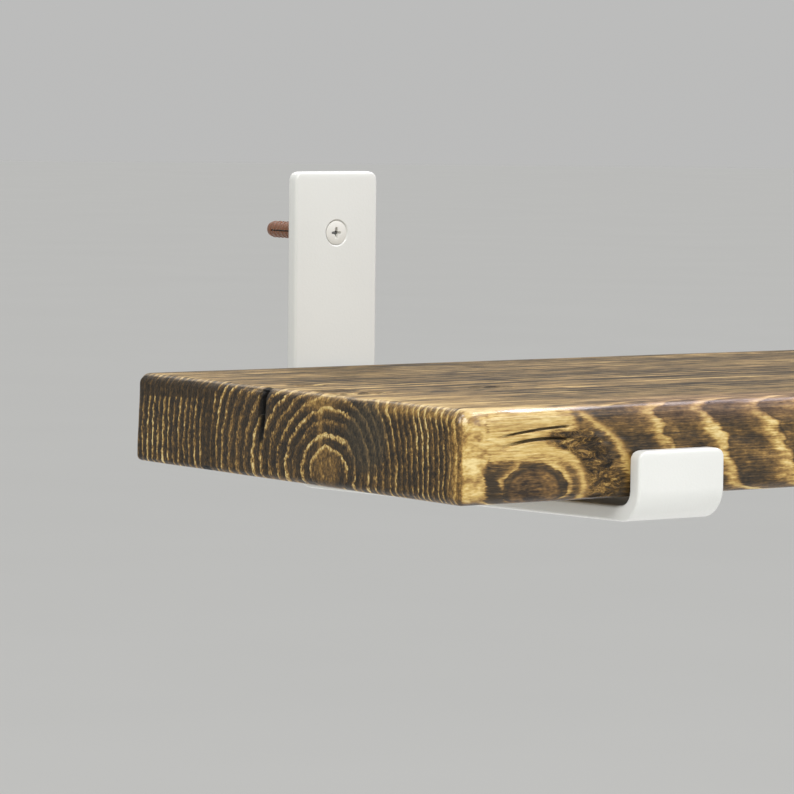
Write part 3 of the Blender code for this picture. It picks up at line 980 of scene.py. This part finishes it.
def make_screw(name, material, place, head_r, core_r, thread_r, length, shank, pitch, recess):
    """Countersunk screw with a rolled thread; the head's face is at local Z = 0."""
    around, per_turn = 32, 10
    bm = bmesh.new()
    rim, shank_r = 0.3 * MM, thread_r * SHANK_SHARE
    cone = rim + head_r - shank_r
    profile = ((head_r * 0.35, 0.0), (head_r - 0.12 * MM, 0.0), (head_r - 0.03 * MM, -0.04 * MM),
               (head_r, -0.12 * MM), (head_r, -rim), (shank_r, -cone), (shank_r, -shank))
    rings = [circle(radius, height, around) for radius, height in profile]
    start = shank + 0.4 * MM
    count = int((length - start) / pitch * per_turn)
    for row in range(count + 1):
        height = start + (length - start) * row / count
        taper = min(1.0, max(0.04, (length - height) / SCREW_TIP)) ** 0.7
        grow = smoothstep(start, start + 1.5 * pitch, height)
        ring = []
        for step in range(around):
            turn = step / around
            saw = (height / pitch + turn) % 1.0
            crest = max(0.0, 1 - abs(saw - 0.5) / CREST_SHARE) * grow
            radius = (core_r + (thread_r - core_r) * crest) * taper
            angle = 2 * math.pi * turn
            ring.append(Vector((radius * math.cos(angle), radius * math.sin(angle), -height)))
        rings.append(ring)
    ring_mesh(bm, rings)
    screw = add_object(name, bm, material, place)
    subtract(screw, [cross_cutter(*recess, place)])
    smooth(screw, 35)
    return screw


# ---- wall plugs
PLUG_R, PLUG_BORE_R, PLUG_WALL = 3.5 * MM, 2.6 * MM, 0.35 * MM
BARB, NOSE_TAPER = 0.36 * MM, 0.45 * MM
# Shares of the plug's length: barbs start and stop, one barb, slits start and stop, nose starts
BARBS_FROM, BARBS_TO, BARB_PITCH = 0.16, 0.94, 0.078
SLIT_FROM, SLIT_TO, NOSE_FROM = 0.24, 0.93, 0.93


def make_plug(side, level, material):
    """Nylon sleeve: plain collar, sawtooth barbs and four slits that let it spread."""
    low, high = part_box(f"wall_plug_{side}_{level}")
    length = high.y - low.y
    around, along = 64, 96
    bm = bmesh.new()
    outer, inner = [], []
    for row in range(along + 1):
        t = row / along
        barb = 0.0
        if BARBS_FROM < t < BARBS_TO:
            barb = ((t - BARBS_FROM) / BARB_PITCH) % 1.0
        radius = PLUG_R - BARB * barb - NOSE_TAPER * smoothstep(NOSE_FROM, 1.0, t)
        bore = min(PLUG_BORE_R, radius - PLUG_WALL)
        outer.append([bm.verts.new(point) for point in circle(radius, -length * t, around)])
        inner.append([bm.verts.new(point) for point in circle(bore, -length * t, around)])

    def is_slit(row, step):
        return SLIT_FROM < (row + 0.5) / along < SLIT_TO and step % (around // 4) in (0, 1)

    def bridge(near, far):
        """Joins the outside to the bore along one edge, given as two corners (row, step)."""
        (r0, s0), (r1, s1) = near, far
        bm.faces.new((outer[r0][s0], inner[r0][s0], inner[r1][s1], outer[r1][s1]))

    for row in range(along):
        below = row + 1
        for step in range(around):
            after = (step + 1) % around
            if is_slit(row, step):
                continue
            bm.faces.new((outer[row][step], outer[below][step],
                          outer[below][after], outer[row][after]))
            bm.faces.new((inner[row][step], inner[row][after],
                          inner[below][after], inner[below][step]))
            if is_slit(row, (step - 1) % around):
                bridge((row, step), (below, step))
            if is_slit(row, after):
                bridge((below, after), (row, after))
            if row and is_slit(row - 1, step):
                bridge((row, after), (row, step))
            if below < along and is_slit(below, step):
                bridge((below, step), (below, after))
    for step in range(around):
        after = (step + 1) % around
        bridge((0, after), (0, step))
        bridge((along, step), (along, after))
    mouth = Matrix.Translation(Vector(((low.x + high.x) / 2, low.y, (low.z + high.z) / 2)))
    place = mouth @ Matrix.Rotation(math.pi / 2, 4, "X")
    plug = add_object(f"plug_{side}_{level}", bm, material, place)
    smooth(plug, 30)
    return plug


# ---- assembly
wood = Pine().build()
powder_coat = make_powder_coat()
painted_head = make_painted_head()
zinc = make_zinc()
nylon = make_nylon()


def stand_in(piece, node):
    """Puts a finished piece in the place of its CAD mesh."""
    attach(piece, "root")
    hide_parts(node)


board = make_board(wood)
subtract(board, [pilot_cutter(side, spot) for side in SIDES for spot in SPOTS])
smooth(board, 80)
stand_in(board, "board")
for side in SIDES:
    stand_in(make_bracket(side, powder_coat), "bracket_" + side)
    for level in LEVELS:
        name = f"{side}_{level}"
        screw = make_screw("wall_screw_" + name + "_fine", painted_head,
                           wall_place(side, level, -BAR_THICK + HEAD_RECESS), **WALL_SCREW)
        stand_in(screw, "wall_screw_" + name)
        stand_in(make_plug(side, level, nylon), "wall_plug_" + name)
    for spot in SPOTS:
        name = f"{side}_{spot}"
        screw = make_screw("board_screw_" + name + "_fine", zinc,
                           arm_place(side, spot, HEAD_RECESS), **BOARD_SCREW)
        stand_in(screw, "board_screw_" + name)


# ---- floor, light and background
# Strength of the surround at and below the horizon, and straight up
HORIZON, ZENITH = 0.50, 0.69
FLOOR_RADIUS, FLOOR_HEIGHT = 60.0, -1.1
LAMPS = (
    # name, place, aim, size, power, colour
    ("key", (-1.6, -2.0, 2.3), (0.0, -0.1, 0.0), (1.8, 1.4), 66, (1.0, 0.99, 0.975)),
    ("fill", (1.8, -2.6, 0.9), (0.0, -0.1, 0.0), (2.0, 1.6), 20, (0.97, 0.98, 1.0)),
    ("back", (0.6, 2.4, 2.2), (0.0, 0.0, 0.0), (2.0, 1.2), 24, (1.0, 1.0, 1.0)),
    ("below", (-0.4, -0.6, -0.95), (0.0, -0.1, 0.0), (2.2, 1.8), 4, (1.0, 0.99, 0.96)),
    ("corner", (-0.84, -0.87, 1.84), (-0.30, -0.23, 0.03), (0.20, 0.20), 8, (1.0, 1.0, 1.0)),
    ("edge_white", (0.85, -0.40, 1.60), (-0.25, -0.22, 0.03), (0.35, 0.35), 9, (1.0, 1.0, 1.0)),
    ("edge_lilac", (1.35, -0.30, 1.70), (0.0, -0.22, 0.03), (1.10, 0.50), 13, (0.90, 0.80, 1.0)),
)


def make_floor():
    """A pale studio floor well below the shelf."""
    bm = bmesh.new()
    bmesh.ops.create_circle(bm, cap_ends=True, radius=FLOOR_RADIUS, segments=96)
    p = Paint("floor_paint", linear(226, 228, 230))
    cloud = p.noise(p.scaled(900, 900, 900), detail=2.0)
    colour = p.mix(linear(227, 227, 225), linear(231, 231, 229), cloud + 0.5)
    p.set(Base_Color=colour, Roughness=0.9)
    floor = add_object("floor", bm, p.material, Matrix.Translation((0.0, 0.0, FLOOR_HEIGHT)))


def area_light(name, place, aim, size, power, colour):
    data = bpy.data.lights.new(name, "AREA")
    data.shape, data.size, data.size_y = "RECTANGLE", size[0], size[1]
    data.energy, data.color = power, colour
    lamp = bpy.data.objects.new(name, data)
    bpy.context.scene.collection.objects.link(lamp)
    lamp.location = place
    lamp.rotation_euler = (Vector(aim) - Vector(place)).to_track_quat("-Z", "Y").to_euler()
    lamp.visible_camera = False


make_floor()
for lamp in LAMPS:
    area_light(*lamp)


def make_world():
    """Pale surround, a little brighter overhead, so that the floor's far edge melts into it."""
    world = bpy.data.worlds.new("studio")
    world.use_nodes = True
    nodes, links = world.node_tree.nodes, world.node_tree.links
    direction = nodes.new("ShaderNodeTexCoord")
    parts = nodes.new("ShaderNodeSeparateXYZ")
    links.new(direction.outputs["Generated"], parts.inputs[0])
    ramp = nodes.new("ShaderNodeMapRange")
    links.new(parts.outputs[2], ramp.inputs["Value"])
    ramp.inputs["To Min"].default_value, ramp.inputs["To Max"].default_value = HORIZON, ZENITH
    background = nodes["Background"]
    background.inputs["Color"].default_value = (1.0, 1.0, 0.992, 1.0)
    links.new(ramp.outputs["Result"], background.inputs["Strength"])
    bpy.context.scene.world = world


make_world()
bpy.context.scene.view_settings.view_transform = "Standard"
